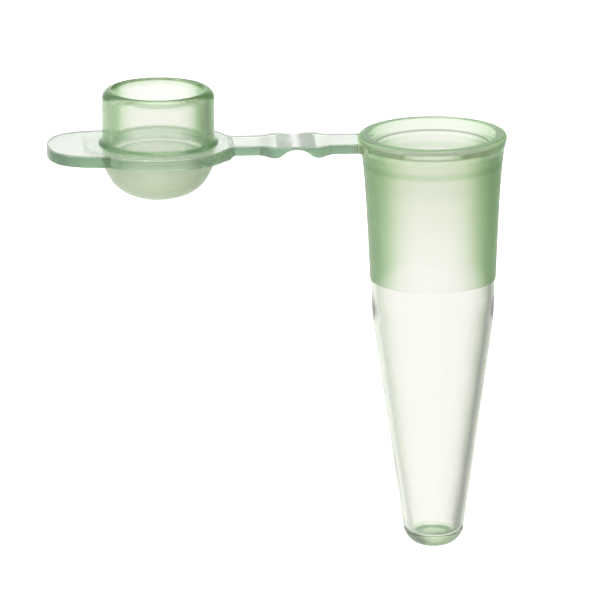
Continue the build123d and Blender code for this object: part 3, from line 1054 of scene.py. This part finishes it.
def studio_strength(tree, direction):
    """Studio brightness along a ray: a bright card ahead, pale on the left, dim on the right."""
    in_view = tree.turned(direction, "VECTOR", "CAMERA")
    unit = tree.add("VectorMath", {0: in_view}, operation="NORMALIZE").outputs[0]
    right, _, ahead = tree.parts(unit)
    walls = tree.smooth(right, -0.20, 0.30, WALL_LEFT, WALL_RIGHT)
    card = tree.smooth(right, 0.02, 0.55, CARD_LEFT, CARD_RIGHT)
    seen = tree.mix_float(tree.smooth(ahead, CARD_EDGE, CARD_FULL), walls, card)
    is_diffuse = tree.add("LightPath").outputs["Is Diffuse Ray"]
    return tree.mix_float(is_diffuse, seen, DIFFUSE_LEVEL)


def build_world():
    world = bpy.data.worlds.new("studio")
    scene.world = world
    tree = Tree(world)
    direction = tree.add("TexCoord").outputs["Generated"]
    strength = studio_strength(tree, direction)
    background = tree.add("Background", {"Strength": strength, "Color": (1, 1, 1, 1)})
    tree.add("OutputWorld", {0: background.outputs[0]})


def floor_material():
    """A lit floor that takes a shadow for the camera, and the studio for all other rays."""
    material = bpy.data.materials.new("floor_white")
    tree = Tree(material)
    diffuse = tree.add("BsdfDiffuse", {"Color": (0.86, 0.86, 0.86, 1)}).outputs[0]
    glow = tree.add("Emission", {"Strength": 0.55}).outputs[0]
    lit = tree.add("AddShader", {0: diffuse, 1: glow}).outputs[0]
    incoming = tree.add("NewGeometry").outputs["Incoming"]
    ray = tree.add("VectorMath", {0: incoming, "Scale": -1.0}, operation="SCALE").outputs[0]
    inputs = {"Strength": studio_strength(tree, ray), "Color": (1, 1, 1, 1)}
    studio = tree.add("Emission", inputs).outputs[0]
    is_camera = tree.add("LightPath").outputs["Is Camera Ray"]
    tree.add("OutputMaterial", {"Surface": tree.mix_shader(is_camera, studio, lit)})
    return material


def build_floor():
    """A disc well below the tip."""
    radius, z = 6.0, (TIP_BOTTOM - 5.0) * MM        # metres
    bm = bmesh.new()
    angles = [2 * math.pi * k / 64 for k in range(64)]
    bm.faces.new([bm.verts.new((radius * math.cos(a), radius * math.sin(a), z)) for a in angles])
    floor = new_object("floor", bm)
    floor.data.materials.append(floor_material())


def area_light(name, place, aim, size, watts):
    """A rectangular light; place, aim and size are in metres."""
    light = bpy.data.lights.new(name, "AREA")
    light.shape = "RECTANGLE"
    light.size, light.size_y = size
    light.energy = watts
    lamp = bpy.data.objects.new(name, light)
    scene.collection.objects.link(lamp)
    lamp.location = place
    lamp.rotation_euler = (Vector(aim) - Vector(place)).to_track_quat("-Z", "Y").to_euler()


build_world()
build_floor()
area_light("softbox_top", place=(0.02, 0.02, 0.30), aim=(-0.005, 0, -0.01),
           size=(0.22, 0.22), watts=0.9)
area_light("softbox_left", place=(-0.26, -0.16, 0.12), aim=(-0.006, 0, -0.008),
           size=(0.10, 0.22), watts=0.35)

# ------------------------------------------------------------------ camera and render
AZIMUTH, ELEVATION, ROLL = math.radians(-2.8), math.radians(15.2), math.radians(-0.3)
AIM_LEFT, AIM_DOWN = 6.572, 8.251   # from the rim's centre to the view's, in the view plane
DISTANCE = 0.60                     # metres
VIEW_WIDTH = 29.73240833            # at that distance
SENSOR_WIDTH = 36.0


def build_camera():
    right = Vector((math.cos(AZIMUTH), math.sin(AZIMUTH), 0))
    up = Vector((
        -math.sin(AZIMUTH) * math.sin(ELEVATION),
        math.cos(AZIMUTH) * math.sin(ELEVATION),
        math.cos(ELEVATION),
    ))
    back = right.cross(up)
    right, up = (
        right * math.cos(ROLL) + up * math.sin(ROLL),
        up * math.cos(ROLL) - right * math.sin(ROLL),
    )
    target = Vector((0, 0, 0)) - right * AIM_LEFT * MM - up * AIM_DOWN * MM
    data = bpy.data.cameras.new("camera")
    data.sensor_width = SENSOR_WIDTH
    data.lens = SENSOR_WIDTH * DISTANCE / (VIEW_WIDTH * MM)
    data.clip_start = 0.01
    data.clip_end = 50
    camera = bpy.data.objects.new("camera", data)
    scene.collection.objects.link(camera)
    rows = [(right[i], up[i], back[i], target[i] + back[i] * DISTANCE) for i in range(3)]
    camera.matrix_world = Matrix((*rows, (0, 0, 0, 1)))
    scene.camera = camera


build_camera()
scene.view_settings.view_transform = "Standard"
scene.cycles.max_bounces = 24
scene.cycles.transmission_bounces = 20
scene.cycles.transparent_max_bounces = 40
scene.cycles.sample_clamp_indirect = 4.0
